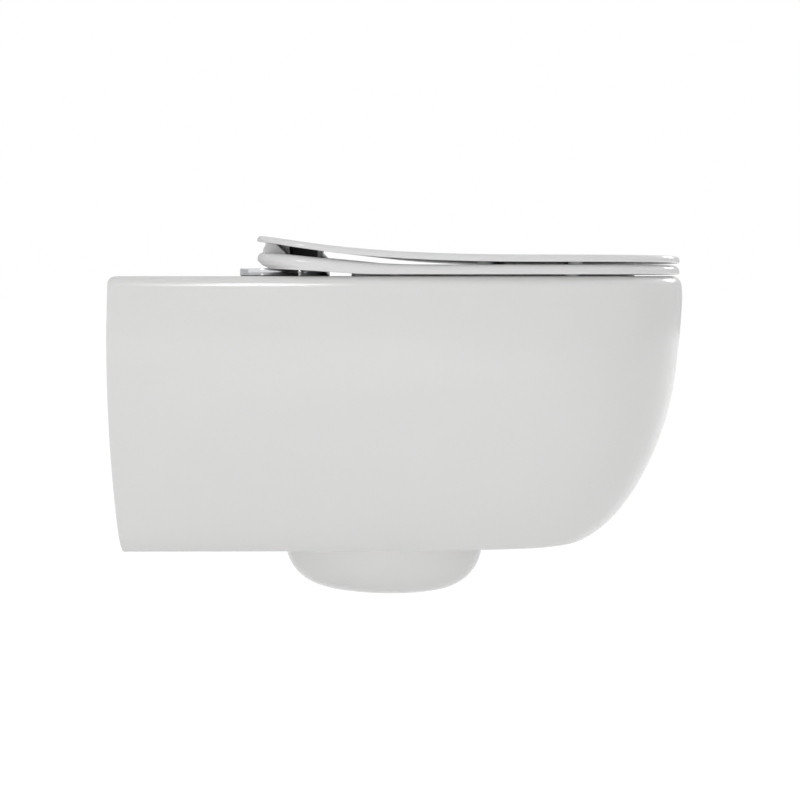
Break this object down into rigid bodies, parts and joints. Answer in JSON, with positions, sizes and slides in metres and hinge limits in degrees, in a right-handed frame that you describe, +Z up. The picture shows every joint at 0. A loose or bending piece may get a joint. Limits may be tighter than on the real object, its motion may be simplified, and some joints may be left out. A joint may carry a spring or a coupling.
{
  "type": "wall hung toilet",
  "caption": "Wall-hung ceramic toilet pan with a smooth closed skirt, a rounded trap housing below, and a slim soft-close ring seat and lid on round chrome hinge discs.",
  "frame": {"origin": "midway between the two wall fixing studs, on the plane of the wall", "axes": "+Z up, +Y into the wall (the front of the pan points to -Y), +X to the right for a person standing in front of it"},
  "size_m": [0.3644, 0.5282, 0.3627],
  "materials": {
    "ceramic": "white glaze",
    "seat_plastic": "white, moulded thermoset, polished",
    "buffer_rubber": "milky soft plastic",
    "seal_rubber": "black",
    "chrome": "polished",
    "steel": "bright, stainless",
    "brass": "turned",
    "white_nylon": "moulded",
    "damper_plastic": "moulded"
  },
  "bodies": {
    "pan": {"fixing_nut_left": "steel", "fixing_nut_right": "steel", "fixing_sleeve_left": "white_nylon", "fixing_sleeve_right": "white_nylon", "fixing_washer_left": "steel", "fixing_washer_right": "steel", "hinge_arm_left": "chrome", "hinge_arm_right": "chrome", "hinge_base_left": "steel", "hinge_base_right": "steel", "hinge_bolt_left": "steel", "hinge_bolt_right": "steel", "hinge_disc_left": "chrome", "hinge_disc_right": "chrome", "hinge_gasket_left": "seal_rubber", "hinge_gasket_right": "seal_rubber", "hinge_nut_left": "brass", "hinge_nut_right": "brass", "hinge_pin_left": "steel", "hinge_pin_right": "steel", "hinge_plug_left": "seal_rubber", "hinge_plug_right": "seal_rubber", "pan": "ceramic"},
    "seat": {"seat_buffer_front_left": "buffer_rubber", "seat_buffer_front_right": "buffer_rubber", "seat_buffer_rear_left": "buffer_rubber", "seat_buffer_rear_right": "buffer_rubber", "seat_bush_right": "white_nylon", "seat_damper_left": "damper_plastic", "seat_ring": "seat_plastic"},
    "lid": {"lid": "seat_plastic", "lid_buffer_front_left": "buffer_rubber", "lid_buffer_front_right": "buffer_rubber", "lid_buffer_rear_left": "buffer_rubber", "lid_buffer_rear_right": "buffer_rubber", "lid_bush_left": "white_nylon", "lid_damper_right": "damper_plastic", "lid_hinge_housing": "damper_plastic"}
  },
  "joints": [
    {"name": "seat_hinge", "type": "hinge", "parent": "pan", "child": "seat", "pos_m": [0, -0.134, 0.1035], "axis": [-1, 0, 0], "range_deg": [0, 95]},
    {"name": "lid_hinge", "type": "hinge", "parent": "seat", "child": "lid", "pos_m": [0, -0.134, 0.1035], "axis": [-1, 0, 0], "range_deg": [0, 95]}
  ]
}
